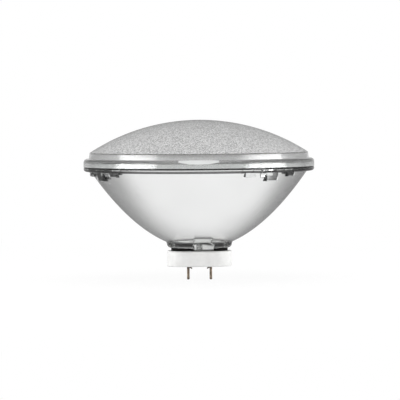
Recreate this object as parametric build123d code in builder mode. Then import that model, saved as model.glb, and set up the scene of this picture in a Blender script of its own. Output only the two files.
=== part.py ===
# Sealed-beam spotlight bulb: a domed glass lens fused to a silvered glass reflector, on an oblong
# ceramic base with two contact blades. Millimetres. The origin is the centre of the ceramic's bottom
# face, +Z runs from the base to the lens, and the two blades stand side by side along X.

import os
from math import cos, radians, sin, sqrt

from build123d import *

# Fused rim, in two flanges that meet at the seam
rim_diameter = 177.8
rim_back_height = 73.5  # back of the reflector's flange above the base
reflector_flange_height = 3.0
lens_flange_height = 6.9
rim_top_rounding = 3.0
rim_back_rounding = 2.2
seam_rounding = 0.7

# Front lens
lens_thickness = 4.0
lens_setback = 4.7  # shoulder, in from the rim
lens_band_height = 4.4  # smooth side band between the flange and the shoulder
lens_band_draft = 0.5  # radius that the band gains on its way down
lens_dome_rise = 25.0
lens_shoulder_rounding = 1.2
key_flat_depth = 1.0  # flat on the flange's upper corner, at the front
key_flat_slope = 45.0

# Reflector bowl and its neck
bowl_edge_inset = 5.5  # bowl's outside where it meets the back of the rim, in from the rim
bowl_vertex_height = 13.3
mirror_edge_inset = 8.2  # mirror's edge at the seam, in from the rim
bowl_bottom_wall = 4.0
mirror_floor_margin = 1.5  # flat floor of the mirror outside the lead holes
neck_inset = 0.8  # neck's foot, in from the ends of the ceramic
neck_draft = 1.4  # radius that the neck gains on its way up
neck_rounding = 2.6
neck_root_rounding = 1.0
flange_root_rounding = 0.8

# Locating lugs under the rim, in groups of three: a tall one between two short ones
lug_group_angles = (41.5, -64.5, 168.5)  # from the front, towards +X
lug_spacing_angle = 14.2
tall_lug_inset = 5.5  # outer face, in from the rim
tall_lug_width = 12.8
tall_lug_drop = 6.6
short_lug_inset = 4.3
short_lug_width = 9.8
short_lug_drop = 3.4
lug_depth = 11.0
lug_draft = 4.0
lug_rounding = 0.9

# Glass foot pads on the neck, low arches that reach down beside the cement
pad_width = 17.5  # at the foot of the arch
pad_foot_width = 14.8
pad_arch_rise = 2.9
pad_shoulder = 3.1  # foot of the arch above the neck's foot
pad_lift = 1.3  # above the ceramic
pad_proud = 1.3  # face, out from the neck's wall
pad_gap = 2.0  # between the cement bed and the pad
pad_turn = 8.0  # from the front, towards +X
pad_rounding = 1.0

# Ceramic base, hollow from the top
base_length = 50.0
base_width = 28.0
base_height = 12.0
base_rounding = 1.0
base_floor = 5.0
pocket_end_wall = 5.0
pocket_side_wall = 8.0

# Cement bed between the ceramic and the neck
bed_end_inset = 3.2  # in from the edge of the ceramic
bed_side_inset = 3.5
bed_thickness = 2.5

# Contact blades, each a strip with a tab lanced out of it
blade_spacing = 17.4
blade_thickness = 2.0
blade_width = 9.0
blade_length = 10.3
blade_tip_rounding = 2.4
blade_tip_chamfer = 0.45
blade_tang = 4.5  # part that stands in the ceramic's pocket
blade_clearance = 0.15
tab_length = 2.0
tab_width = 4.0
tab_thickness = 1.0
tab_droop = 1.0
tab_clearance = 0.3  # under the ceramic

# Ferrules sealed into the neck, and the wires on either side of them
ferrule_inset = 8.7  # axis, in from the end of the ceramic
ferrule_radius = 4.8
ferrule_wall = 0.6
ferrule_floor = 0.8
ferrule_lift = 0.9  # its bottom above the ceramic
ferrule_seal_depth = 3.0
seal_clearance = 0.05
lead_hole_radius = 3.2
post_radius = 1.0
post_bend = 4.0
base_lead_radius = 0.8
base_lead_bend = 2.0

# Filament, a coil that is clamped over the ends of the posts
coil_span = 15.0
coil_wire_radius = 0.35
coil_pitch = 2.0
coil_clearance = 0.05

# Exhaust tube, closed to a tip
exhaust_radius = 3.5
exhaust_bore_radius = 1.6
exhaust_length = 4.5  # down to where the tip rounds off

# Heights and radii that follow
rim_radius = rim_diameter / 2
seam_height = rim_back_height + reflector_flange_height
flange_top_height = seam_height + lens_flange_height
shoulder_radius = rim_radius - lens_setback
shoulder_height = flange_top_height + lens_band_height
band_foot_radius = shoulder_radius + lens_band_draft
apex_height = shoulder_height + lens_dome_rise
dome_radius = (shoulder_radius**2 + lens_dome_rise**2) / (2 * lens_dome_rise)
pocket_length = base_length - 2 * pocket_end_wall
pocket_width = base_width - 2 * pocket_side_wall
bed_length = base_length - 2 * bed_end_inset
bed_width = base_width - 2 * bed_side_inset
ferrule_spacing = base_length - 2 * ferrule_inset
neck_foot_height = base_height + bed_thickness
neck_foot_radius = base_length / 2 - neck_inset
neck_top_radius = neck_foot_radius + neck_draft
pad_face_radius = neck_top_radius + pad_proud
pad_inner_radius = bed_width / 2 + pad_gap
tall_lug_radius = rim_radius - tall_lug_inset
short_lug_radius = rim_radius - short_lug_inset
bowl_edge_radius = rim_radius - bowl_edge_inset
bowl_focal_length = bowl_edge_radius**2 / (4 * (rim_back_height - bowl_vertex_height))
mirror_vertex_height = bowl_vertex_height + bowl_bottom_wall
mirror_edge_radius = rim_radius - mirror_edge_inset
mirror_focal_length = mirror_edge_radius**2 / (4 * (seam_height - mirror_vertex_height))
mirror_floor_radius = ferrule_spacing / 2 + lead_hole_radius + mirror_floor_margin
focus_height = mirror_vertex_height + mirror_focal_length
ferrule_bottom_height = base_height + ferrule_lift
ferrule_top_height = neck_foot_height + ferrule_seal_depth
tang_top_height = base_floor + blade_tang
tang_joint_height = base_floor + blade_tang / 2


def bowl_height(radius):
    return bowl_vertex_height + radius**2 / (4 * bowl_focal_length)


def mirror_height(radius):
    return mirror_vertex_height + radius**2 / (4 * mirror_focal_length)


def parabola_points(start, end, focal_length, vertex_height):
    # The middle point is where the tangents at the two ends cross, so the curve is a true parabola
    crossing = ((start[0] + end[0]) / 2, vertex_height + start[0] * end[0] / (4 * focal_length))
    return start, crossing, end


def turn_from_front(angle):
    # A feature drawn towards +X is brought round to an angle from the front
    return Location((0, 0, 0), (0, 0, angle - 90))


mirror_floor_height = mirror_height(mirror_floor_radius)
neck_top_height = bowl_height(neck_top_radius)

os.makedirs("parts", exist_ok=True)


# Front lens: dome, side band and flange
inner_dome_radius = dome_radius - lens_thickness
inner_band_top_radius = mirror_edge_radius - lens_band_draft
inner_dome_drop = inner_dome_radius - sqrt(inner_dome_radius**2 - inner_band_top_radius**2)
inner_apex_height = apex_height - lens_thickness

# The key flat's plane, taken from the centre of the corner's rounding
corner_radius = rim_radius - rim_top_rounding
corner_height = flange_top_height - rim_top_rounding
flat_reach = rim_top_rounding - key_flat_depth
flat_run = cos(radians(key_flat_slope))
flat_rise = sin(radians(key_flat_slope))
flat_top_radius = corner_radius + (flat_reach - rim_top_rounding * flat_rise) / flat_run
flat_outer_radius = rim_radius + rim_top_rounding
flat_foot_height = corner_height + (flat_reach - (flat_outer_radius - corner_radius) * flat_run) / flat_rise

with BuildPart() as front_lens:
    with BuildSketch(Plane.XZ) as lens_section:
        with BuildLine() as lens_outline:
            shoulder = (shoulder_radius, shoulder_height)
            band_foot = (band_foot_radius, flange_top_height)
            inner_band_top = (inner_band_top_radius, inner_apex_height - inner_dome_drop)
            RadiusArc((0, apex_height), shoulder, dome_radius)
            Line(shoulder, band_foot)
            Line(band_foot, (rim_radius - rim_top_rounding, flange_top_height))
            top_corner = JernArc(
                (rim_radius - rim_top_rounding, flange_top_height), (1, 0), rim_top_rounding, -90
            )
            Line(top_corner @ 1, (rim_radius, seam_height + seam_rounding))
            seam_corner = JernArc(
                (rim_radius, seam_height + seam_rounding), (0, -1), seam_rounding, -90
            )
            Line(seam_corner @ 1, (mirror_edge_radius, seam_height))
            Line((mirror_edge_radius, seam_height), inner_band_top)
            RadiusArc(inner_band_top, (0, inner_apex_height), -inner_dome_radius)
            Line((0, inner_apex_height), (0, apex_height))
        make_face()
        fillet(lens_section.vertices().sort_by_distance(shoulder)[0], lens_shoulder_rounding)
    revolve(axis=Axis.Z)

    # Key flat: the rounded upper corner of the flange is cut off at the front
    with BuildSketch(Plane.YZ):
        with BuildLine():
            Polyline(
                (-flat_top_radius, flange_top_height),
                (-flat_outer_radius, flat_foot_height),
                (-flat_outer_radius, flange_top_height),
                close=True,
            )
        make_face()
    extrude(amount=rim_radius / 2, both=True, mode=Mode.SUBTRACT)

front_lens.part.label = "front_lens"
export_step(front_lens.part, "parts/front_lens.step")


# One lug of each size, drawn towards +X and hung from the back of the flange
def hanging_lug(radius, width, drop):
    with BuildPart() as lug:
        with BuildSketch(Plane.XY.offset(rim_back_height)):
            with Locations((radius - lug_depth / 2, 0)):
                Rectangle(lug_depth, width)
        extrude(amount=-drop, taper=lug_draft)
        foot_edges = lug.faces().sort_by(Axis.Z)[0].edges()
        fillet(foot_edges.sort_by(Axis.X)[1:], lug_rounding)
    return lug.part


tall_lug = hanging_lug(tall_lug_radius, tall_lug_width, tall_lug_drop)
short_lug = hanging_lug(short_lug_radius, short_lug_width, short_lug_drop)

# One foot pad, an arch drawn towards +X, with a face that slopes in like the neck's wall
pad_foot_height = base_height + pad_lift
pad_shoulder_height = neck_foot_height + pad_shoulder
pad_top_height = pad_shoulder_height + pad_arch_rise
pad_foot_radius = pad_face_radius - neck_draft

with BuildPart() as foot_pad:
    with BuildSketch(Plane.XZ):
        with BuildLine():
            Polyline(
                (0, pad_foot_height),
                (pad_foot_radius, pad_foot_height),
                (pad_face_radius, pad_top_height),
                (0, pad_top_height),
                close=True,
            )
        make_face()
    revolve(axis=Axis.Z)
    with BuildSketch(Plane.YZ.offset(pad_inner_radius)):
        with BuildLine():
            left_foot = (-pad_foot_width / 2, pad_foot_height)
            right_foot = (pad_foot_width / 2, pad_foot_height)
            left_shoulder = (-pad_width / 2, pad_shoulder_height)
            right_shoulder = (pad_width / 2, pad_shoulder_height)
            Polyline(left_shoulder, left_foot, right_foot, right_shoulder)
            ThreePointArc(right_shoulder, (0, pad_top_height), left_shoulder)
        make_face()
    extrude(amount=pad_face_radius - pad_inner_radius, mode=Mode.INTERSECT)
    fillet(foot_pad.faces().sort_by(Axis.X)[-1].edges(), pad_rounding)


# Reflector: bowl, flange, lugs, neck and foot pads
with BuildPart() as reflector:
    with BuildSketch(Plane.XZ) as bowl_section:
        with BuildLine() as bowl_outline:
            neck_top = (neck_top_radius, neck_top_height)
            bowl_edge = (bowl_edge_radius, rim_back_height)
            neck_foot = (neck_foot_radius, neck_foot_height)
            Line((0, neck_foot_height), neck_foot)
            Line(neck_foot, neck_top)
            Bezier(*parabola_points(neck_top, bowl_edge, bowl_focal_length, bowl_vertex_height))
            Line(bowl_edge, (rim_radius - rim_back_rounding, rim_back_height))
            back_corner = JernArc(
                (rim_radius - rim_back_rounding, rim_back_height), (1, 0), rim_back_rounding, 90
            )
            Line(back_corner @ 1, (rim_radius, seam_height - seam_rounding))
            seam_corner = JernArc(
                (rim_radius, seam_height - seam_rounding), (0, 1), seam_rounding, 90
            )
            Line(seam_corner @ 1, (0, seam_height))
            Line((0, seam_height), (0, neck_foot_height))
        make_face()
        fillet(bowl_section.vertices().sort_by_distance(neck_foot)[0], neck_rounding)
        fillet(bowl_section.vertices().sort_by_distance(neck_top)[0], neck_root_rounding)
        fillet(bowl_section.vertices().sort_by_distance(bowl_edge)[0], flange_root_rounding)
    revolve(axis=Axis.Z)

    for group_angle in lug_group_angles:
        with Locations(turn_from_front(group_angle)):
            add(tall_lug)
        for side in (-1, 1):
            with Locations(turn_from_front(group_angle + side * lug_spacing_angle)):
                add(short_lug)

    for pad_angle in (pad_turn, pad_turn + 180):
        with Locations(turn_from_front(pad_angle)):
            add(foot_pad.part)

    # The hollow inside the bowl, with its mirror surface
    with BuildSketch(Plane.XZ) as hollow_section:
        with BuildLine():
            mirror_floor = (mirror_floor_radius, mirror_floor_height)
            mirror_edge = (mirror_edge_radius, seam_height)
            Line((0, mirror_floor_height), mirror_floor)
            Bezier(*parabola_points(mirror_floor, mirror_edge, mirror_focal_length, mirror_vertex_height))
            Line(mirror_edge, (0, seam_height))
            Line((0, seam_height), (0, mirror_floor_height))
        make_face()
    revolve(axis=Axis.Z, mode=Mode.SUBTRACT)

    # Seats and holes for the two ferrules, and the hole under the exhaust tube
    with Locations((0, 0, neck_foot_height)):
        with GridLocations(ferrule_spacing, 0, 2, 1):
            Cylinder(
                ferrule_radius + seal_clearance,
                ferrule_seal_depth,
                align=(Align.CENTER, Align.CENTER, Align.MIN),
                mode=Mode.SUBTRACT,
            )
            Cylinder(
                lead_hole_radius,
                mirror_floor_height - neck_foot_height,
                align=(Align.CENTER, Align.CENTER, Align.MIN),
                mode=Mode.SUBTRACT,
            )
        Cylinder(
            exhaust_bore_radius,
            mirror_floor_height - neck_foot_height,
            align=(Align.CENTER, Align.CENTER, Align.MIN),
            mode=Mode.SUBTRACT,
        )

reflector.part.label = "reflector"
export_step(reflector.part, "parts/reflector.step")


# Ceramic base: an oblong block with a pocket above and two slots through its floor
with BuildPart() as ceramic_base:
    with BuildSketch():
        SlotOverall(base_length, base_width)
    extrude(amount=base_height)
    fillet(ceramic_base.edges().filter_by(Axis.Z, reverse=True), base_rounding)
    with BuildSketch(Plane.XY.offset(base_floor)):
        SlotOverall(pocket_length, pocket_width)
    extrude(amount=base_height - base_floor, mode=Mode.SUBTRACT)
    with BuildSketch():
        with GridLocations(blade_spacing, 0, 2, 1):
            Rectangle(blade_thickness + 2 * blade_clearance, blade_width + 2 * blade_clearance)
    extrude(amount=base_floor, mode=Mode.SUBTRACT)

ceramic_base.part.label = "ceramic_base"
export_step(ceramic_base.part, "parts/ceramic_base.step")


# Cement bed: a dark layer around the ferrules and the exhaust tube
with BuildPart() as cement_bed:
    with BuildSketch(Plane.XY.offset(base_height)):
        SlotOverall(bed_length, bed_width)
        with GridLocations(ferrule_spacing, 0, 2, 1):
            Circle(ferrule_radius + seal_clearance, mode=Mode.SUBTRACT)
        Circle(exhaust_radius + seal_clearance, mode=Mode.SUBTRACT)
    extrude(amount=bed_thickness)

cement_bed.part.label = "cement_bed"
export_step(cement_bed.part, "parts/cement_bed.step")


# Exhaust tube: open into the bowl, and closed to a round tip below
with BuildPart() as exhaust_tip:
    tip_centre_height = neck_foot_height - exhaust_length
    bore_floor_height = tip_centre_height + exhaust_bore_radius
    with BuildSketch(Plane.XZ):
        with BuildLine():
            Polyline(
                (0, tip_centre_height - exhaust_radius),
                (0, tip_centre_height),
                (exhaust_bore_radius, bore_floor_height),
                (exhaust_bore_radius, neck_foot_height),
                (exhaust_radius, neck_foot_height),
                (exhaust_radius, tip_centre_height),
            )
            CenterArc((0, tip_centre_height), exhaust_radius, 270, 90)
        make_face()
    revolve(axis=Axis.Z)

exhaust_tip.part.label = "exhaust_tip"
export_step(exhaust_tip.part, "parts/exhaust_tip.step")


# Filament: a coil along X at the focus, wound over the ends of both posts
coil_radius = post_radius + coil_wire_radius + coil_clearance
coil_length = coil_span + 2 * coil_pitch

with BuildPart() as filament:
    with BuildLine() as coil_route:
        Helix(
            coil_pitch,
            coil_length,
            coil_radius,
            center=(-coil_length / 2, 0, focus_height),
            direction=(1, 0, 0),
        )
    with BuildSketch(Plane(origin=coil_route.line @ 0, z_dir=coil_route.line % 0)):
        Circle(coil_wire_radius)
    sweep(is_frenet=True)

filament.part.label = "filament"
export_step(filament.part, "parts/filament.step")


# Pieces that come in a left and a right one
for side, side_name in ((-1, "left"), (1, "right")):
    blade_place = side * blade_spacing / 2
    blade_inside = blade_place - side * blade_thickness / 2
    blade_outside = blade_place + side * blade_thickness / 2
    ferrule_place = side * ferrule_spacing / 2

    # Contact blade: a strip with a rounded, thinned tip, and a tab bent inwards under the ceramic
    with BuildPart() as contact_blade:
        with BuildSketch(Plane.YZ.offset(blade_place - blade_thickness / 2)) as blade_outline:
            with Locations((0, -blade_length)):
                Rectangle(blade_width, blade_length + tang_top_height, align=(Align.CENTER, Align.MIN))
            fillet(blade_outline.vertices().group_by(Axis.Z)[0], blade_tip_rounding)
            with Locations((0, -tab_clearance - tab_thickness)):
                Rectangle(tab_width, tab_length, align=(Align.CENTER, Align.MAX), mode=Mode.SUBTRACT)
        extrude(amount=blade_thickness)
        outline_edges = contact_blade.edges().filter_by(Axis.X, reverse=True)
        tip_edges = outline_edges.filter_by_position(Axis.Z, -blade_length, blade_tip_rounding - blade_length)
        chamfer(tip_edges, blade_tip_chamfer)
        with BuildSketch(Plane.XZ):
            with BuildLine():
                tab_end = blade_inside - side * tab_length
                Polyline(
                    (blade_inside, -tab_clearance),
                    (tab_end, -tab_clearance - tab_droop),
                    (tab_end, -tab_clearance - tab_droop - tab_thickness),
                    (blade_inside, -tab_clearance - tab_thickness),
                    close=True,
                )
            make_face()
        extrude(amount=tab_width / 2, both=True)

    contact_blade.part.label = f"{side_name}_contact_blade"
    export_step(contact_blade.part, f"parts/{side_name}_contact_blade.step")

    # Ferrule: a thimble that opens into the bowl
    with BuildPart() as ferrule:
        with Locations((ferrule_place, 0, ferrule_bottom_height)):
            Cylinder(
                ferrule_radius,
                ferrule_top_height - ferrule_bottom_height,
                align=(Align.CENTER, Align.CENTER, Align.MIN),
            )
        with Locations((ferrule_place, 0, ferrule_bottom_height + ferrule_floor)):
            Cylinder(
                ferrule_radius - ferrule_wall,
                ferrule_top_height - ferrule_bottom_height,
                align=(Align.CENTER, Align.CENTER, Align.MIN),
                mode=Mode.SUBTRACT,
            )

    ferrule.part.label = f"{side_name}_ferrule"
    export_step(ferrule.part, f"parts/{side_name}_ferrule.step")

    # Lead post: from the ferrule's floor up to the focus, then in to the filament
    with BuildPart() as lead_post:
        with BuildLine() as post_route:
            FilletPolyline(
                (ferrule_place, 0, ferrule_bottom_height + ferrule_floor),
                (ferrule_place, 0, focus_height),
                (side * coil_span / 2, 0, focus_height),
                radius=post_bend,
            )
        with BuildSketch(Plane(origin=post_route.line @ 0, z_dir=post_route.line % 0)):
            Circle(post_radius)
        sweep()

    lead_post.part.label = f"{side_name}_lead_post"
    export_step(lead_post.part, f"parts/{side_name}_lead_post.step")

    # Base lead: from under the ferrule across to the blade's tang
    with BuildPart() as base_lead:
        with BuildLine() as lead_route:
            FilletPolyline(
                (ferrule_place, 0, ferrule_bottom_height),
                (ferrule_place, 0, tang_joint_height),
                (blade_outside, 0, tang_joint_height),
                radius=base_lead_bend,
            )
        with BuildSketch(Plane(origin=lead_route.line @ 0, z_dir=lead_route.line % 0)):
            Circle(base_lead_radius)
        sweep()

    base_lead.part.label = f"{side_name}_base_lead"
    export_step(base_lead.part, f"parts/{side_name}_base_lead.step")
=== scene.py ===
import math

import bpy
from mathutils import Matrix, Vector


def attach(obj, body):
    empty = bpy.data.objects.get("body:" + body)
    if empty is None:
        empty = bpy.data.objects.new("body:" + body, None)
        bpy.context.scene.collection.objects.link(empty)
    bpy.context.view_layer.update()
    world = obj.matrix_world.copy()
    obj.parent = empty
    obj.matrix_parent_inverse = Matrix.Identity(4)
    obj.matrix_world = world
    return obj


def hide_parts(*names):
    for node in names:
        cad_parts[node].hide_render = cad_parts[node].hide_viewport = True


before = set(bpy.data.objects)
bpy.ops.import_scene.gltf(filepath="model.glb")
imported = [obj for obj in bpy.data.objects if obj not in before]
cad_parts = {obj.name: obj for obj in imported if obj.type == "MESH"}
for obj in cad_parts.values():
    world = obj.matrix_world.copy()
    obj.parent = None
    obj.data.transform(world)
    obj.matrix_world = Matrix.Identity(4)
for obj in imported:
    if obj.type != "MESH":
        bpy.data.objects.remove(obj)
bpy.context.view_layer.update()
mm = 0.001
# how near counts as being there, in mm
near = {"level": 0.001, "weld": 0.002, "step": 0.01, "sheet": 0.02, "curve": 0.05, "wall": 0.1}
sharpDeg = 30  # edges steeper than this stay sharp
print("frame loaded with", len(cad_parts), "nodes")


def makeActive(piece):
    bpy.ops.object.select_all(action="DESELECT")
    piece.select_set(True)
    bpy.context.view_layer.objects.active = piece


def pickParts(piece, kind, test):  # goes into edit mode with the edges or polygons that pass the test
    makeActive(piece)
    mesh = piece.data
    for parts in (mesh.vertices, mesh.edges, mesh.polygons):
        parts.foreach_set("select", [False] * len(parts))
    for part in getattr(mesh, kind):
        part.select = bool(test(part))
    order = ("vertices", "edges", "polygons")
    bpy.context.tool_settings.mesh_select_mode = tuple(kind == name for name in order)
    bpy.ops.object.mode_set(mode="EDIT")


def leaveEdit():
    bpy.ops.object.mode_set(mode="OBJECT")


def drawArc(middle, radius, fromDeg, toDeg, count):  # angles from straight up, towards the rim
    angles = [math.radians(fromDeg + (toDeg - fromDeg) * i / count) for i in range(count + 1)]
    return [(middle[0] + radius * math.sin(a), middle[1] + radius * math.cos(a)) for a in angles]


def drawParabola(fromRadius, toRadius, vertexZ, focal, count):
    radii = [fromRadius + (toRadius - fromRadius) * i / count for i in range(count + 1)]
    return [(r, vertexZ + r * r / (4 * focal)) for r in radii]


def roundCorner(before, corner, after, radius, count=7):
    corner = Vector(corner)
    back = (Vector(before) - corner).normalized()
    ahead = (Vector(after) - corner).normalized()
    half = back.angle(ahead) / 2
    middle = corner + (back + ahead).normalized() * (radius / math.sin(half))
    start = corner + back * (radius / math.tan(half)) - middle
    end = corner + ahead * (radius / math.tan(half)) - middle
    turn = start.angle(end)
    points = []
    for i in range(count + 1):
        share = i / count
        spoke = start * math.sin((1 - share) * turn) + end * math.sin(share * turn)
        points.append(tuple(middle + spoke / math.sin(turn)))
    return points


def softenOutline(corners):  # a third number on a corner is its rounding
    points = []
    for i, corner in enumerate(corners):
        if len(corner) == 3:
            points += roundCorner(corners[i - 1][:2], corner[:2], corners[i + 1][:2], corner[2])
        else:
            points.append(corner)
    return points


def spinOutline(name, corners, turns):  # a vertex is drawn out along the outline, then spun round the axis
    outline = softenOutline(corners)
    bpy.ops.object.select_all(action="DESELECT")
    bpy.ops.mesh.primitive_plane_add(size=mm)
    piece = bpy.context.active_object
    piece.name = piece.data.name = name
    bpy.context.tool_settings.mesh_select_mode = (True, False, False)
    bpy.ops.object.mode_set(mode="EDIT")
    bpy.ops.mesh.select_all(action="SELECT")
    bpy.ops.mesh.merge(type="CENTER")
    bpy.ops.transform.translate(value=(outline[0][0] * mm, 0, outline[0][1] * mm))
    for here, there in zip(outline, outline[1:]):
        reach = ((there[0] - here[0]) * mm, 0, (there[1] - here[1]) * mm)
        bpy.ops.mesh.extrude_vertices_move(TRANSFORM_OT_translate={"value": reach})
    bpy.ops.mesh.select_all(action="SELECT")
    bpy.ops.mesh.spin(steps=turns, angle=2 * math.pi, center=(0, 0, 0), axis=(0, 0, 1))
    bpy.ops.mesh.select_all(action="SELECT")
    bpy.ops.mesh.remove_doubles(threshold=near["weld"] * mm)
    bpy.ops.mesh.normals_make_consistent(inside=False)
    leaveEdit()
    return piece


def joinWith(piece, tool, how):
    makeActive(piece)
    step = piece.modifiers.new(how, "BOOLEAN")
    step.operation = how
    step.object = tool
    step.solver = "MANIFOLD"
    bpy.ops.object.modifier_apply(modifier=step.name)
    bpy.data.objects.remove(tool, do_unlink=True)


def placeCopy(piece, turnDeg):  # turned round the bulb's axis, from the front towards +X
    copy = piece.copy()
    copy.data = piece.data.copy()
    bpy.context.collection.objects.link(copy)
    makeActive(copy)
    copy.rotation_euler = (0, 0, math.radians(turnDeg))
    bpy.ops.object.transform_apply(location=False, rotation=True, scale=False)
    return copy


def joinAll(pieces):
    makeActive(pieces[0])
    for piece in pieces:
        piece.select_set(True)
    bpy.ops.object.join()
    return pieces[0]


# finishes
finishes = {}


def newMaterial(name):
    material = bpy.data.materials.new(name)
    material.use_nodes = True
    finishes[name] = material
    return material.node_tree.nodes, material.node_tree.links


def finishPiece(piece, names, slot, *nodes):
    makeActive(piece)
    bpy.ops.object.shade_smooth_by_angle(angle=math.radians(sharpDeg))
    even = piece.modifiers.new("even", "WEIGHTED_NORMAL")  # broad faces stay true beside the roundings
    even.keep_sharp = True
    bpy.ops.object.modifier_apply(modifier=even.name)
    piece.data.materials.clear()
    for name in names:
        piece.data.materials.append(finishes[name])
    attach(piece, "root")
    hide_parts(*nodes)
    print("made", piece.name, len(piece.data.polygons), "faces")


def paintFaces(piece, names, finishFor):
    for face in piece.data.polygons:
        face.material_index = names.index(finishFor(face))


grainLayers = {"Fine": {"scale": 2500.0, "detail": 3.0}, "Coarse": {"scale": 200.0, "detail": 5.0}}
grainSpan = (0.3, 0.7)  # most of the grain lies between these


def makeGrainGroup():  # fine and coarse unevenness, shared by most finishes
    group = bpy.data.node_groups.new("surfaceGrain", "ShaderNodeTree")
    for name, layer in grainLayers.items():
        socket = group.interface.new_socket(name + " Scale", in_out="INPUT", socket_type="NodeSocketFloat")
        socket.default_value = layer["scale"]
        group.interface.new_socket(name, in_out="OUTPUT", socket_type="NodeSocketFloat")
    nodes, links = group.nodes, group.links
    inputs = nodes.new("NodeGroupInput")
    outputs = nodes.new("NodeGroupOutput")
    place = nodes.new("ShaderNodeTexCoord")
    for name, layer in grainLayers.items():
        noise = nodes.new("ShaderNodeTexNoise")
        noise.inputs["Detail"].default_value = layer["detail"]
        links.new(place.outputs["Object"], noise.inputs["Vector"])
        links.new(inputs.outputs[name + " Scale"], noise.inputs["Scale"])
        links.new(noise.outputs["Fac"], outputs.inputs[name])
    return group


grainGroup = makeGrainGroup()


def addGrain(nodes, fineScale, coarseScale):
    grain = nodes.new("ShaderNodeGroup")
    grain.node_tree = grainGroup
    grain.inputs["Fine Scale"].default_value = fineScale
    grain.inputs["Coarse Scale"].default_value = coarseScale
    return grain


def greyStops(pairs):
    return [(along, (level, level, level)) for along, level in pairs]


def addRamp(nodes, links, source, stops):
    ramp = nodes.new("ShaderNodeValToRGB")
    while len(ramp.color_ramp.elements) < len(stops):
        ramp.color_ramp.elements.new(0.5)
    for element, (along, colour) in zip(ramp.color_ramp.elements, stops):
        element.position = along
        element.color = (*colour, 1.0)
    links.new(source, ramp.inputs["Fac"])
    return ramp.outputs["Color"]


def addRange(nodes, links, source, low, high, newLow, newHigh):
    spread = nodes.new("ShaderNodeMapRange")
    for name, value in (("From Min", low), ("From Max", high), ("To Min", newLow), ("To Max", newHigh)):
        spread.inputs[name].default_value = value
    links.new(source, spread.inputs["Value"])
    return spread.outputs["Result"]


def addBump(nodes, links, source, shader, strength, depth):
    bump = nodes.new("ShaderNodeBump")
    bump.inputs["Strength"].default_value = strength
    bump.inputs["Distance"].default_value = depth
    links.new(source, bump.inputs["Height"])
    links.new(bump.outputs["Normal"], shader.inputs["Normal"])


def addRoughness(nodes, links, grain, shader, rough):  # the fine grain moves it between two values
    level = addRange(nodes, links, grain.outputs["Fine"], *grainSpan, *rough)
    links.new(level, shader.inputs["Roughness"])


# the bulb's glass: colour, roughness, scale and depth in mm of its waves
# clear is the share that doesn't scatter, all of it where none is given
glassIor = 1.47
paleGlass = (0.93, 0.945, 0.94, 1)
fineToWaves = 4
glass = {
    "clearGlass": {"colour": paleGlass, "rough": (0.04, 0.08), "waves": 60, "depth": 0.02},
    "rimGlass": {"colour": paleGlass, "rough": (0.12, 0.17), "waves": 60, "depth": 0.02, "clear": 0.9},
    "frostedGlass": {"colour": paleGlass, "rough": (0.29, 0.34), "waves": 150, "depth": 0.015, "clear": 0.6},
    # painted shade: the neck's glass is tinted dark
    "neckPaintedShadeGlass": {"colour": (0.5, 0.508, 0.5, 1), "rough": (0.1, 0.16), "waves": 150, "depth": 0.06},
    # painted shade: the foot pads are tinted a little darker
    "padPaintedShadeGlass": {"colour": (0.85, 0.86, 0.85, 1), "rough": (0.12, 0.18), "waves": 150, "depth": 0.06},
    # painted shade: near black glass on the seam's rounding, the flange's back and the bowl's root, for the
    # dark lines there
    "seamPaintedShadeGlass": {"colour": (0.05, 0.051, 0.05, 1), "rough": (0.04, 0.1), "waves": 90, "depth": 0.04},
    "bowlGlass": {"colour": (0.975, 0.98, 0.977, 1), "rough": (0.08, 0.14), "waves": 90, "depth": 0.05},
    # painted shade: the flange's rounded top corner is tinted dark
    "edgePaintedShadeGlass": {"colour": (0.38, 0.386, 0.38, 1), "rough": (0.02, 0.06), "waves": 60, "depth": 0.03,
                  "clear": 0.88},
    # painted shade: a darker tint on the shoulder's rounding, for the dark line between dome and band
    "shoulderPaintedShadeGlass": {"colour": (0.65, 0.66, 0.65, 1), "rough": (0.1, 0.16), "waves": 60, "depth": 0.02,
                      "clear": 0.85},
}


def glassShader(nodes, colour, clear):
    shader = nodes["Principled BSDF"]
    shader.inputs["Base Color"].default_value = colour
    shader.inputs["IOR"].default_value = glassIor
    shader.inputs["Transmission Weight"].default_value = clear
    return shader


def makeGlass(name, d):
    nodes, links = newMaterial(name)
    shader = glassShader(nodes, d["colour"], d.get("clear", 1.0))
    grain = addGrain(nodes, d["waves"] * fineToWaves, d["waves"])
    addRoughness(nodes, links, grain, shader, d["rough"])
    addBump(nodes, links, grain.outputs["Coarse"], shader, 1.0, d["depth"] * mm)


for name, d in glass.items():
    makeGlass(name, d)

# pressed pebbles on the lens, inside, on its face and on its side band
plainShine = 0.5
coatRough = 0.16
stipple = {
    "lensStipple": {"cells": 1100, "depth": 0.35, "rough": 0.06, "dimmest": 0.95,
                    "clear": 1.0, "shine": 0.5, "coat": 0.0, "grazingPaintedShade": 0.0},
    "lensFace": {"cells": 1600, "depth": 0.085, "rough": 0.5, "dimmest": 0.3,
                 "clear": 0.34, "shine": 0.1, "coat": 0.0, "grazingPaintedShade": 0.7},
    "lensBand": {"cells": 1600, "depth": 0.04, "rough": 0.3, "dimmest": 0.75,
                 "clear": 0.72, "shine": 0.5, "coat": 1.0, "grazingPaintedShade": 0.0},
}


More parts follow.
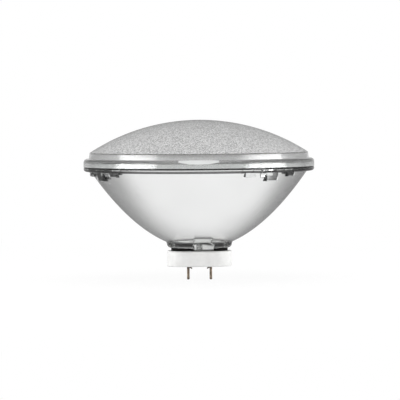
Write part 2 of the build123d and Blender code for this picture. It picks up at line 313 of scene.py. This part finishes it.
def makeStipple(name, d):  # each pebble passes a little more or less light
    nodes, links = newMaterial(name)
    shader = glassShader(nodes, paleGlass, d["clear"])
    tint = d["shine"] / plainShine
    shader.inputs["Roughness"].default_value = d["rough"]
    shader.inputs["Specular IOR Level"].default_value = d["shine"]
    shader.inputs["Specular Tint"].default_value = (tint, tint, tint, 1)
    shader.inputs["Coat Weight"].default_value = d["coat"]
    shader.inputs["Coat Roughness"].default_value = coatRough
    place = nodes.new("ShaderNodeTexCoord")
    cells = nodes.new("ShaderNodeTexVoronoi")
    cells.inputs["Scale"].default_value = d["cells"]
    links.new(place.outputs["Object"], cells.inputs["Vector"])
    chance = nodes.new("ShaderNodeSeparateColor")
    links.new(cells.outputs["Color"], chance.inputs["Color"])
    pebbles = addRamp(nodes, links, chance.outputs["Red"], greyStops([(0, d["dimmest"]), (1, 1)]))
    if d["grazingPaintedShade"]:  # the glass turns light back at a flat angle; the colour is darkened there as well, a painted shade on the dome's ends
        fresnel = nodes.new("ShaderNodeFresnel")
        fresnel.inputs["IOR"].default_value = glassIor
        grazingShade = addRange(nodes, links, fresnel.outputs["Fac"], 0, 1, 1, 1 - d["grazingPaintedShade"])
        dimmed = nodes.new("ShaderNodeMix")
        dimmed.data_type = "RGBA"
        dimmed.blend_type = "MULTIPLY"
        dimmed.inputs["Factor"].default_value = 1.0
        links.new(pebbles, dimmed.inputs["A"])
        links.new(grazingShade, dimmed.inputs["B"])
        pebbles = dimmed.outputs["Result"]
    links.new(pebbles, shader.inputs["Base Color"])
    addBump(nodes, links, cells.outputs["Distance"], shader, 1.0, d["depth"] * mm)


for name, d in stipple.items():
    makeStipple(name, d)

nodes, links = newMaterial("fusedGlass")  # inside the seam the glass runs on, so nothing bends there
shader = nodes["Principled BSDF"]
shader.inputs["Transmission Weight"].default_value = 1.0
shader.inputs["IOR"].default_value = 1.0
shader.inputs["Roughness"].default_value = 0.0

# metal, ceramic and cement: the coarse grain moves the colour over its span, bumpDepth is in mm
wornMetal = {
    "metallic": 1.0, "shine": 0.5, "span": (0.35, 0.65),
    "bumpFrom": "Fine", "bump": 0.3, "bumpDepth": 0.03,
}
dull = {
    "mirrorFilm": {
        "metallic": 1.0, "shine": 0.5, "dark": (0.92, 0.92, 0.92), "light": (0.95, 0.95, 0.95),
        "span": grainSpan, "rough": (0.08, 0.16), "fine": 900, "coarse": 40},
    "whiteCeramic": {
        "metallic": 0.0, "shine": 0.5, "dark": (0.80, 0.80, 0.79), "light": (0.86, 0.86, 0.85),
        "span": grainSpan, "rough": (0.5, 0.7), "fine": 3500, "coarse": 220,
        "bumpFrom": "Fine", "bump": 0.6, "bumpDepth": 0.06},
    # near black and almost without sheen, as dark as the gap between the glass foot and the ceramic
    "nearBlackBed": {
        "metallic": 0.0, "shine": 0.1, "dark": (0.004, 0.004, 0.004), "light": (0.016, 0.016, 0.015),
        "span": grainSpan, "rough": (0.75, 0.95), "fine": 2200, "coarse": 500,
        "bumpFrom": "Coarse", "bump": 0.8, "bumpDepth": 0.25},
    "brownedBrass": {
        **wornMetal, "dark": (0.09, 0.07, 0.055), "light": (0.3, 0.245, 0.19),
        "rough": (0.38, 0.6), "fine": 2500, "coarse": 260},
    "ferruleMetal": {
        **wornMetal, "dark": (0.2, 0.19, 0.18), "light": (0.34, 0.33, 0.31),
        "rough": (0.35, 0.55), "fine": 3000, "coarse": 400},
    "leadWire": {
        **wornMetal, "dark": (0.5, 0.49, 0.47), "light": (0.64, 0.63, 0.61),
        "rough": (0.25, 0.4), "fine": 4000, "coarse": 300},
    "tungstenWire": {
        **wornMetal, "dark": (0.28, 0.28, 0.3), "light": (0.4, 0.4, 0.42),
        "rough": (0.35, 0.5), "fine": 5000, "coarse": 900},
}


def makeDull(name, d):
    nodes, links = newMaterial(name)
    shader = nodes["Principled BSDF"]
    shader.inputs["Metallic"].default_value = d["metallic"]
    shader.inputs["Specular IOR Level"].default_value = d["shine"]
    grain = addGrain(nodes, d["fine"], d["coarse"])
    low, high = d["span"]
    colour = addRamp(nodes, links, grain.outputs["Coarse"], [(low, d["dark"]), (high, d["light"])])
    links.new(colour, shader.inputs["Base Color"])
    addRoughness(nodes, links, grain, shader, d["rough"])
    if "bump" in d:
        addBump(nodes, links, grain.outputs[d["bumpFrom"]], shader, d["bump"], d["bumpDepth"] * mm)


for name, d in dull.items():
    makeDull(name, d)
print("finishes ready,", len(finishes), "of them")


# the front lens: dome, side band and the upper half of the rim
lens = {
    "rimRadius": 88.9, "seamZ": 76.5, "seamRounding": 0.7,
    "flangeTopZ": 83.4, "topRounding": 3.0, "topFacing": 0.85,
    "bandFootRadius": 84.7, "shoulderRadius": 84.2, "shoulderZ": 87.8,
    "shoulderRounding": 1.2, "shoulderRise": 0.4, "shoulderDrop": 0.74,  # the rounding's reach up and down
    "domeRise": 25.0, "thickness": 4.0, "arcSteps": 40,
    "innerFootRadius": 80.7, "innerTopRadius": 80.2, "innerRounding": 1.2,
    "keyFlatDepth": 1.0, "keyFlatFacing": 0.9999, "turns": 256,
    "finishes": ["clearGlass", "lensFace", "lensStipple", "fusedGlass", "frostedGlass", "seamPaintedShadeGlass",
                 "lensBand", "edgePaintedShadeGlass", "rimGlass", "shoulderPaintedShadeGlass"],
}


def makeLens(d):
    domeRadius = (d["shoulderRadius"] ** 2 + d["domeRise"] ** 2) / (2 * d["domeRise"])
    domeMiddle = (0.0, d["shoulderZ"] + d["domeRise"] - domeRadius)
    innerRadius = domeRadius - d["thickness"]
    outerAngle = math.degrees(math.asin(d["shoulderRadius"] / domeRadius))
    innerAngle = math.degrees(math.asin(d["innerTopRadius"] / innerRadius))
    outer = drawArc(domeMiddle, domeRadius, 0, outerAngle, d["arcSteps"])
    inner = drawArc(domeMiddle, innerRadius, innerAngle, 0, d["arcSteps"])
    corners = outer[:-1] + [
        (*outer[-1], d["shoulderRounding"]),
        (d["bandFootRadius"], d["flangeTopZ"]),
        (d["rimRadius"], d["flangeTopZ"], d["topRounding"]),
        (d["rimRadius"], d["seamZ"], d["seamRounding"]),
        (d["innerFootRadius"], d["seamZ"]),
        (*inner[0], d["innerRounding"]),
    ] + inner[1:]
    piece = spinOutline("lens", corners, d["turns"])

    # the key flat takes off the flange's rounded upper corner at the front
    reach = d["topRounding"] - d["keyFlatDepth"]
    slope = math.sqrt(0.5)  # the flat stands at 45 degrees
    flatY = -(d["rimRadius"] - d["topRounding"] + reach * slope)
    flatZ = d["flangeTopZ"] - d["topRounding"] + reach * slope
    lowest, highest, nearest = d["seamZ"] * mm, d["flangeTopZ"] * mm, d["bandFootRadius"] * mm
    pickParts(piece, "polygons", lambda face: lowest < face.center.z <= highest + near["level"] * mm
              and face.center.xy.length > nearest and face.center.y < 0)
    bpy.ops.mesh.bisect(plane_co=(0, flatY * mm, flatZ * mm), plane_no=(0, -slope, slope),
                        use_fill=True, clear_outer=True)
    leaveEdit()
    flatNormal = Vector((0, -slope, slope))
    pickParts(piece, "polygons", lambda face: face.normal.dot(flatNormal) > d["keyFlatFacing"]
              and face.center.xy.length > nearest and face.center.z < highest)
    bpy.ops.mesh.region_to_loop()
    bpy.ops.mesh.mark_sharp()
    leaveEdit()

    def finishFor(face):
        middle = face.center / mm
        fromDome = (middle - Vector((0, 0, domeMiddle[1]))).length
        if abs(middle.z - d["seamZ"]) < near["level"]:
            return "fusedGlass"
        if abs(fromDome - domeRadius) < near["curve"] and middle.z > d["shoulderZ"] + d["shoulderRise"]:
            return "lensFace"
        if abs(fromDome - innerRadius) < near["curve"] and middle.z > d["flangeTopZ"]:
            return "lensStipple"
        if face.normal.dot(flatNormal) > d["keyFlatFacing"] and middle.z < d["flangeTopZ"]:
            return "frostedGlass"
        if middle.xy.length < d["innerFootRadius"] + near["wall"]:
            return "clearGlass"
        # painted shade: near black glass on the seam's rounding
        if middle.z < d["seamZ"] + d["seamRounding"]:
            return "seamPaintedShadeGlass"
        # painted shade: a darker tint on the shoulder's rounding
        if middle.z > d["shoulderZ"] - d["shoulderDrop"]:
            return "shoulderPaintedShadeGlass"
        if middle.z > d["flangeTopZ"] + near["step"] or face.normal.z > d["topFacing"]:
            return "lensBand"
        # painted shade: a dark tint on the flange's rounded top corner
        return "edgePaintedShadeGlass" if middle.z > d["flangeTopZ"] - d["topRounding"] else "rimGlass"

    finishPiece(piece, d["finishes"], "lens_glass", "front_lens")
    paintFaces(piece, d["finishes"], finishFor)


makeLens(lens)


# the reflector bowl with its lugs, neck and foot pads
bowl = {
    "rimRadius": 88.9, "seamZ": 76.5, "seamRounding": 0.7,
    # darkBack and darkFacing pick the flange's back and rounding that get the seam's painted shade
    "backZ": 73.5, "backRounding": 2.2, "backFacing": 0.97, "darkBack": 1.8, "darkFacing": 0.2,
    "edgeRadius": 83.4, "edgeRounding": 0.8, "vertexZ": 13.3, "curveSteps": 48,
    "mirrorRadius": 80.7, "mirrorVertexZ": 17.3, "mirrorFacing": 0.1, "floorRadius": 21.0,
    "neckFootRadius": 24.2, "neckFootZ": 14.5, "neckFootRounding": 2.6,
    "neckTopRadius": 25.6, "neckRootRounding": 1.0, "turns": 256,
    "ferruleApart": 32.6, "seatRadius": 4.85, "seatDepth": 3.0, "leadHole": 3.2, "exhaustHole": 1.6,
    "holeTurns": 40, "holePast": 1.0,  # the hole cutters stand out past both faces
    "finishes": ["bowlGlass", "clearGlass", "mirrorFilm", "fusedGlass", "seamPaintedShadeGlass", "neckPaintedShadeGlass", "padPaintedShadeGlass"],
}
lugs = {
    "groupAngles": (41.5, -64.5, 168.5), "apart": 14.2, "draftDeg": 4.0, "rounding": 0.8, "roundSteps": 4,
    "tall": {"radius": 83.4, "width": 12.8, "drop": 6.6},
    "short": {"radius": 84.6, "width": 9.8, "drop": 3.4},
    "rootRise": 0.8,  # the root stands inside the flange
    "outerDepth": 2.0,  # edges within this of a lug's front are rounded
    "rootInset": 2.4, "wallSlope": 0.72,  # the back of a lug stays inside the bowl's wall
}
pads = {
    "width": 17.5, "footWidth": 14.8, "archRise": 2.9, "shoulderZ": 17.6, "footZ": 13.3, "backY": 12.5,
    "faceTopRadius": 26.9, "faceFootRadius": 25.5, "rounding": 1.0, "roundSteps": 5, "faceSteps": 12,
    "angles": (8.0, 188.0), "halfDeg": 20.0,
}


def makeLug(size, common, backZ):
    top = backZ + common["rootRise"]
    draft = math.tan(math.radians(common["draftDeg"]))
    height = size["drop"] + top - backZ
    rootDepth = common["rootInset"]
    bpy.ops.object.select_all(action="DESELECT")
    bpy.ops.mesh.primitive_plane_add(size=1, location=(0, 0, 0))
    piece = bpy.context.active_object
    piece.name = "lug"
    bpy.context.tool_settings.mesh_select_mode = (False, False, True)
    bpy.ops.object.mode_set(mode="EDIT")
    bpy.ops.mesh.select_all(action="SELECT")
    bpy.ops.transform.resize(value=(size["width"] * mm, rootDepth * mm, 1))
    bpy.ops.transform.translate(value=(0, -(size["radius"] - rootDepth / 2) * mm, top * mm))
    footDepth = rootDepth - height * draft + height * common["wallSlope"]
    bpy.ops.mesh.extrude_region_move(TRANSFORM_OT_translate={"value": (0, 0, -height * mm)})
    footMiddle = size["radius"] - height * draft - footDepth / 2
    bpy.ops.transform.translate(value=(0, (size["radius"] - rootDepth / 2 - footMiddle) * mm, 0))
    bpy.ops.transform.resize(value=(1 - 2 * size["drop"] * draft / size["width"], footDepth / rootDepth, 1),
                             center_override=(0, -footMiddle * mm, 0))
    bpy.ops.mesh.select_all(action="SELECT")
    bpy.ops.mesh.normals_make_consistent(inside=False)
    leaveEdit()
    footZ = (top - height) * mm
    outerY = -(size["radius"] - common["outerDepth"]) * mm

    def rounded(edge):
        ends = [piece.data.vertices[i].co for i in edge.vertices]
        outer = [end.y < outerY for end in ends]
        onFoot = [abs(end.z - footZ) < near["level"] * mm for end in ends]
        return (all(onFoot) and any(outer)) or (all(outer) and any(onFoot))

    pickParts(piece, "edges", rounded)
    bpy.ops.mesh.bevel(offset=common["rounding"] * mm, segments=common["roundSteps"])
    leaveEdit()
    return piece


def stepsAcross(length, d):  # places across a face with rounded edges, and how far each lies back
    turns = [math.pi / 2 * i / d["roundSteps"] for i in range(d["roundSteps"] + 1)]
    edge = [(d["rounding"] * (1 - math.cos(turn)), d["rounding"] * (1 - math.sin(turn))) for turn in turns]
    even = (length - 2 * d["rounding"]) / d["faceSteps"]
    inner = [(d["rounding"] + even * i, 0) for i in range(1, d["faceSteps"])]
    return edge + inner + [(length - place, back) for place, back in reversed(edge)]


def makePad(d):
    count = 2 * d["roundSteps"] + d["faceSteps"]
    bpy.ops.object.select_all(action="DESELECT")
    bpy.ops.mesh.primitive_grid_add(x_subdivisions=count, y_subdivisions=count, size=2)
    piece = bpy.context.active_object
    piece.name = "footPad"
    bpy.context.tool_settings.mesh_select_mode = (False, False, True)
    bpy.ops.object.mode_set(mode="EDIT")
    bpy.ops.mesh.select_all(action="SELECT")
    bpy.ops.mesh.extrude_region_move(TRANSFORM_OT_translate={"value": (0, 0, -1)})
    leaveEdit()
    # the sheet is laid round the neck as an arch that leans in towards its foot
    half = d["width"] / 2
    narrow = d["footWidth"] / d["width"]
    archRadius = (half ** 2 + d["archRise"] ** 2) / (2 * d["archRise"])
    topZ = d["shoulderZ"] + d["archRise"]
    lean = (d["faceTopRadius"] - d["faceFootRadius"]) / (topZ - d["footZ"])
    columns = stepsAcross(d["width"], d)
    for vertex in piece.data.vertices:
        place, columnBack = columns[round((vertex.co.x + 1) / 2 * count)]
        across = place - half
        height = topZ - archRadius + math.sqrt(archRadius ** 2 - across ** 2) - d["footZ"]
        rise, rowBack = stepsAcross(height, d)[round((vertex.co.y + 1) / 2 * count)]
        across *= narrow + (1 - narrow) * rise / height
        radius = d["faceFootRadius"] + lean * rise - max(columnBack, rowBack)
        inFront = vertex.co.z > -0.5  # the sheet's back is at -1
        reach = math.sqrt(radius ** 2 - across ** 2) if inFront else d["backY"]
        vertex.co = Vector((across, -reach, d["footZ"] + rise)) * mm
    pickParts(piece, "polygons", lambda face: True)
    bpy.ops.mesh.normals_make_consistent(inside=False)
    leaveEdit()
    return piece


def makeBowl(d):
    focal = d["edgeRadius"] ** 2 / (4 * (d["backZ"] - d["vertexZ"]))
    mirrorFocal = d["mirrorRadius"] ** 2 / (4 * (d["seamZ"] - d["mirrorVertexZ"]))
    steps = d["curveSteps"]
    outer = drawParabola(d["neckTopRadius"], d["edgeRadius"], d["vertexZ"], focal, steps)
    mirror = drawParabola(d["mirrorRadius"], d["floorRadius"], d["mirrorVertexZ"], mirrorFocal, steps)
    floorZ = mirror[-1][1]
    corners = [
        (0, d["neckFootZ"]),
        (d["neckFootRadius"], d["neckFootZ"], d["neckFootRounding"]),
        (*outer[0], d["neckRootRounding"]),
    ] + outer[1:-1] + [
        (*outer[-1], d["edgeRounding"]),
        (d["rimRadius"], d["backZ"], d["backRounding"]),
        (d["rimRadius"], d["seamZ"], d["seamRounding"]),
    ] + mirror + [(0, floorZ)]
    piece = spinOutline("bowl", corners, d["turns"])

    tall = makeLug(lugs["tall"], lugs, d["backZ"])
    short = makeLug(lugs["short"], lugs, d["backZ"])
    placed = []
    for angle in lugs["groupAngles"]:
        placed.append(placeCopy(tall, angle))
        placed.append(placeCopy(short, angle - lugs["apart"]))
        placed.append(placeCopy(short, angle + lugs["apart"]))
    pad = makePad(pads)
    placed += [placeCopy(pad, angle) for angle in pads["angles"]]
    for pattern in (tall, short, pad):
        bpy.data.objects.remove(pattern, do_unlink=True)
    joinWith(piece, joinAll(placed), "UNION")

    below, above = d["neckFootZ"] - d["holePast"], floorZ + d["holePast"]
    seatZ = d["neckFootZ"] + d["seatDepth"]
    ferrule = [(0, below), (d["seatRadius"], below), (d["seatRadius"], seatZ),
               (d["leadHole"], seatZ), (d["leadHole"], above), (0, above)]
    exhaust = [(0, below), (d["exhaustHole"], below), (d["exhaustHole"], above), (0, above)]
    cutters = []
    for side, shape in ((-0.5, ferrule), (0, exhaust), (0.5, ferrule)):
        cutter = spinOutline("holes", shape, d["holeTurns"])
        cutter.location.x = side * d["ferruleApart"] * mm
        bpy.ops.object.transform_apply(location=True, rotation=False, scale=False)
        cutters.append(cutter)
    joinWith(piece, joinAll(cutters), "DIFFERENCE")

    padSides = [Matrix.Rotation(math.radians(angle), 3, "Z") @ Vector((0, -1, 0)) for angle in pads["angles"]]
    padReach = math.cos(math.radians(pads["halfDeg"]))
    padTopZ = pads["shoulderZ"] + pads["archRise"]

    def onPad(middle, radius):
        inside = radius < pads["faceTopRadius"] + near["wall"] and middle.z < padTopZ + near["wall"]
        return inside and any(side.dot(middle) > radius * padReach for side in padSides)

    def finishFor(face):
        middle = face.center / mm
        radius = middle.xy.length
        mirrorZ = max(floorZ, d["mirrorVertexZ"] + radius ** 2 / (4 * mirrorFocal))
        outerZ = d["vertexZ"] + radius ** 2 / (4 * focal)
        onBack = d["backZ"] - d["edgeRounding"] < middle.z < d["backZ"] + d["darkBack"]
        if abs(middle.z - d["seamZ"]) < near["level"]:
            return "fusedGlass"
        if abs(middle.z - mirrorZ) < near["curve"] and face.normal.z > d["mirrorFacing"]:
            return "mirrorFilm"
        if abs(middle.z - d["backZ"]) < near["sheet"] and face.normal.z < -d["backFacing"]:
            return "clearGlass"
        # painted shade: near black glass on the flange's back, its rounding, the bowl's root and the seam's
        # rounding
        if onBack and (face.normal.z < -d["darkFacing"] or middle.z > d["backZ"] + near["curve"]):
            return "seamPaintedShadeGlass"
        if middle.z > d["seamZ"] - d["seamRounding"]:
            return "seamPaintedShadeGlass"
        # painted shade: the foot pads are tinted a little darker
        if onPad(middle, radius) and middle.z < outerZ - near["wall"]:
            return "padPaintedShadeGlass"
        # painted shade: the neck's glass is tinted dark
        if abs(middle.z - outerZ) > near["wall"]:
            return "neckPaintedShadeGlass" if radius < d["neckTopRadius"] + near["wall"] else "clearGlass"
        return "bowlGlass"

    finishPiece(piece, d["finishes"], "silvered_glass", "reflector")
    paintFaces(piece, d["finishes"], finishFor)


makeBowl(bowl)


# the contact blades, from the CAD strips with their edges eased
blade = {"edgeEase": 0.18, "segments": 2, "flatDeg": 1.0, "edgeDeg": 40.0, "finishes": ["brownedBrass"]}


def makeBlade(node, name, d):
    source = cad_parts[node]
    piece = source.copy()
    piece.data = source.data.copy()
    piece.parent = None
    bpy.context.collection.objects.link(piece)
    piece.name = piece.data.name = name
    piece.data.materials.clear()
    makeActive(piece)
    bpy.ops.object.mode_set(mode="EDIT")
    bpy.ops.mesh.select_all(action="SELECT")
    bpy.ops.mesh.remove_doubles(threshold=near["level"] * mm)
    bpy.ops.mesh.dissolve_limited(angle_limit=math.radians(d["flatDeg"]))
    leaveEdit()
    ease = piece.modifiers.new("ease", "BEVEL")
    ease.width = d["edgeEase"] * mm
    ease.segments = d["segments"]
    ease.limit_method = "ANGLE"
    ease.angle_limit = math.radians(d["edgeDeg"])
    bpy.ops.object.modifier_apply(modifier=ease.name)
    finishPiece(piece, d["finishes"], "blade_metal", node)


makeBlade("left_contact_blade", "leftBlade", blade)
makeBlade("right_contact_blade", "rightBlade", blade)


# pieces that stay as the CAD has them
nodeFinishes = {
    "exhaust_tip": "clearGlass", "cement_bed": "nearBlackBed", "ceramic_base": "whiteCeramic",
    "left_ferrule": "ferruleMetal", "right_ferrule": "ferruleMetal",
    "left_lead_post": "leadWire", "right_lead_post": "leadWire",
    "left_base_lead": "leadWire", "right_base_lead": "leadWire", "filament": "tungstenWire",
}
for node, name in nodeFinishes.items():
    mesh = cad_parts[node].data
    mesh.materials.clear()
    mesh.materials.append(finishes[name])
print("CAD pieces finished")


# the studio
studio = {
    "floorZ": -10.3, "floorSize": 8.0, "floorCuts": 7, "floorPaint": 0.9,
    # painted light and shade that glass and metal see on the floor, bright in front of the bulb and dark
    # behind it: as distance behind the bulb's axis in metres and level
    "floorPaintedLight": [(-0.1, 0.95), (-0.05, 0.93), (-0.03, 0.9), (0.0, 0.69),
                    (0.04, 0.46), (0.09, 0.41), (0.3, 0.35), (2.0, 0.68)],
    "floorTurnDeg": -5.0,
    "shadowShare": 0.07, "shadowRadii": (0.15, 0.6),  # the shadow fades out between them
    # what the object sees of the room: from in front to behind, low down and halfway up, and overhead
    "low": [(0.1, 0.2), (0.5, 0.3), (0.9, 0.3), (0.985, 0.7)],
    "halfway": [(0.1, 0.3), (0.5, 0.9), (0.9, 0.75)],
    "overhead": 1.15,
    "toHalfway": (0.1, 0.5), "toOverhead": (0.6, 0.95),  # the heights at which one gives way to the next
    "lampAim": (0, 0, 0.06),
}


def makeFloor(d):
    bpy.ops.object.select_all(action="DESELECT")
    bpy.ops.mesh.primitive_plane_add(size=d["floorSize"])
    floor = bpy.context.active_object
    floor.name = "floor"
    bpy.ops.object.mode_set(mode="EDIT")
    bpy.ops.mesh.subdivide(number_cuts=d["floorCuts"])
    bpy.ops.transform.translate(value=(0, 0, d["floorZ"] * mm))
    leaveEdit()
    nodes, links = newMaterial("paleFloor")
    nodes.remove(nodes["Principled BSDF"])
    place = nodes.new("ShaderNodeTexCoord")
    turn = nodes.new("ShaderNodeMapping")
    turn.inputs["Rotation"].default_value[2] = math.radians(d["floorTurnDeg"])
    links.new(place.outputs["Object"], turn.inputs["Vector"])
    parts = nodes.new("ShaderNodeSeparateXYZ")
    links.new(turn.outputs["Vector"], parts.inputs["Vector"])
    first, last = d["floorPaintedLight"][0][0], d["floorPaintedLight"][-1][0]
    depth = addRange(nodes, links, parts.outputs["Y"], first, last, 0, 1)
    levels = [((away - first) / (last - first), level) for away, level in d["floorPaintedLight"]]
    sheet = addRamp(nodes, links, depth, greyStops(levels))
    length = nodes.new("ShaderNodeVectorMath")
    length.operation = "LENGTH"
    links.new(place.outputs["Object"], length.inputs[0])
    lit = addRange(nodes, links, length.outputs["Value"], *d["shadowRadii"], 1.0 - d["shadowShare"], 1.0)
    rays = nodes.new("ShaderNodeLightPath")
    paint = nodes.new("ShaderNodeBsdfDiffuse")
    paint.inputs["Color"].default_value = (d["floorPaint"], d["floorPaint"], d["floorPaint"], 1)
    # for glass and metal the floor glows with the painted light levels
    seen = nodes.new("ShaderNodeEmission")
    white = nodes.new("ShaderNodeEmission")
    links.new(sheet, seen.inputs["Color"])
    shiny = nodes.new("ShaderNodeMath")
    shiny.operation = "MAXIMUM"
    links.new(rays.outputs["Is Glossy Ray"], shiny.inputs[0])
    links.new(rays.outputs["Is Transmission Ray"], shiny.inputs[1])

    def mixShaders(factor, one, other):
        mix = nodes.new("ShaderNodeMixShader")
        links.new(factor, mix.inputs["Fac"])
        links.new(one, mix.inputs[1])
        links.new(other, mix.inputs[2])
        return mix.outputs["Shader"]

    forCamera = mixShaders(lit, paint.outputs["BSDF"], white.outputs["Emission"])
    forObject = mixShaders(shiny.outputs["Value"], paint.outputs["BSDF"], seen.outputs["Emission"])
    surface = mixShaders(rays.outputs["Is Camera Ray"], forObject, forCamera)
    links.new(surface, nodes["Material Output"].inputs["Surface"])
    floor.data.materials.append(finishes["paleFloor"])


def makeWorld(d):
    world = bpy.data.worlds.new("studioWorld")
    world.use_nodes = True
    bpy.context.scene.world = world
    nodes, links = world.node_tree.nodes, world.node_tree.links
    nodes.clear()
    place = nodes.new("ShaderNodeTexCoord")
    parts = nodes.new("ShaderNodeSeparateXYZ")
    links.new(place.outputs["Generated"], parts.inputs["Vector"])
    behind = addRange(nodes, links, parts.outputs["Y"], -1, 1, 0, 1)
    low, halfway = (addRamp(nodes, links, behind, greyStops(d[name])) for name in ("low", "halfway"))

    def mixByHeight(heights, lower):
        mix = nodes.new("ShaderNodeMix")
        mix.data_type = "RGBA"
        links.new(addRange(nodes, links, parts.outputs["Z"], *heights, 0, 1), mix.inputs["Factor"])
        links.new(lower, mix.inputs["A"])
        return mix

    raised = mixByHeight(d["toHalfway"], low)
    links.new(halfway, raised.inputs["B"])
    blend = mixByHeight(d["toOverhead"], raised.outputs["Result"])
    blend.inputs["B"].default_value = (d["overhead"], d["overhead"], d["overhead"], 1)
    room = nodes.new("ShaderNodeBackground")
    links.new(blend.outputs["Result"], room.inputs["Color"])
    white = nodes.new("ShaderNodeBackground")
    white.inputs["Color"].default_value = (1, 1, 1, 1)
    rays = nodes.new("ShaderNodeLightPath")
    mix = nodes.new("ShaderNodeMixShader")
    links.new(rays.outputs["Is Camera Ray"], mix.inputs["Fac"])
    links.new(room.outputs["Background"], mix.inputs[1])
    links.new(white.outputs["Background"], mix.inputs[2])
    output = nodes.new("ShaderNodeOutputWorld")
    links.new(mix.outputs["Shader"], output.inputs["Surface"])


def aimAt(thing, target, rollDeg=0.0):
    direction = Vector(target) - thing.location
    turn = direction.to_track_quat("-Z", "Y").to_matrix() @ Matrix.Rotation(math.radians(rollDeg), 3, "Z")
    thing.rotation_euler = turn.to_euler()


softLights = {
    "leftLight": {"place": (-0.91, -0.42, 0.14), "size": (0.8, 0.26), "power": 6.3},
    "rightLight": {"place": (0.95, -0.33, 0.14), "size": (0.8, 0.26), "power": 6.3},
    "topLight": {"place": (0.05, -0.2, 1.2), "size": (1.0, 1.0), "power": 4.5},
}
for name, light in softLights.items():
    lamp = bpy.data.lights.new(name, "AREA")
    lamp.shape = "RECTANGLE"
    lamp.size, lamp.size_y = light["size"]
    lamp.energy = light["power"]
    lampObject = bpy.data.objects.new(name, lamp)
    lampObject.location = light["place"]
    bpy.context.collection.objects.link(lampObject)
    aimAt(lampObject, studio["lampAim"])

makeFloor(studio)
makeWorld(studio)

view = {
    "eye": (0, -2.0, 0.1234), "aim": (0, 0, 0.05096), "rollDeg": -0.4,
    "across": 0.3086, "sensor": 36, "shiftX": 0.00225,  # across is what the frame holds at the aim, in metres
}
cameraData = bpy.data.cameras.new("photoCamera")
camera = bpy.data.objects.new("photoCamera", cameraData)
bpy.context.collection.objects.link(camera)
camera.location = view["eye"]
aimAt(camera, view["aim"], view["rollDeg"])
cameraData.sensor_width = view["sensor"]
cameraData.lens = view["sensor"] * (Vector(view["aim"]) - Vector(view["eye"])).length / view["across"]
cameraData.shift_x = view["shiftX"]
bpy.context.scene.camera = camera
bpy.context.scene.view_settings.view_transform = "Standard"
print("studio ready")
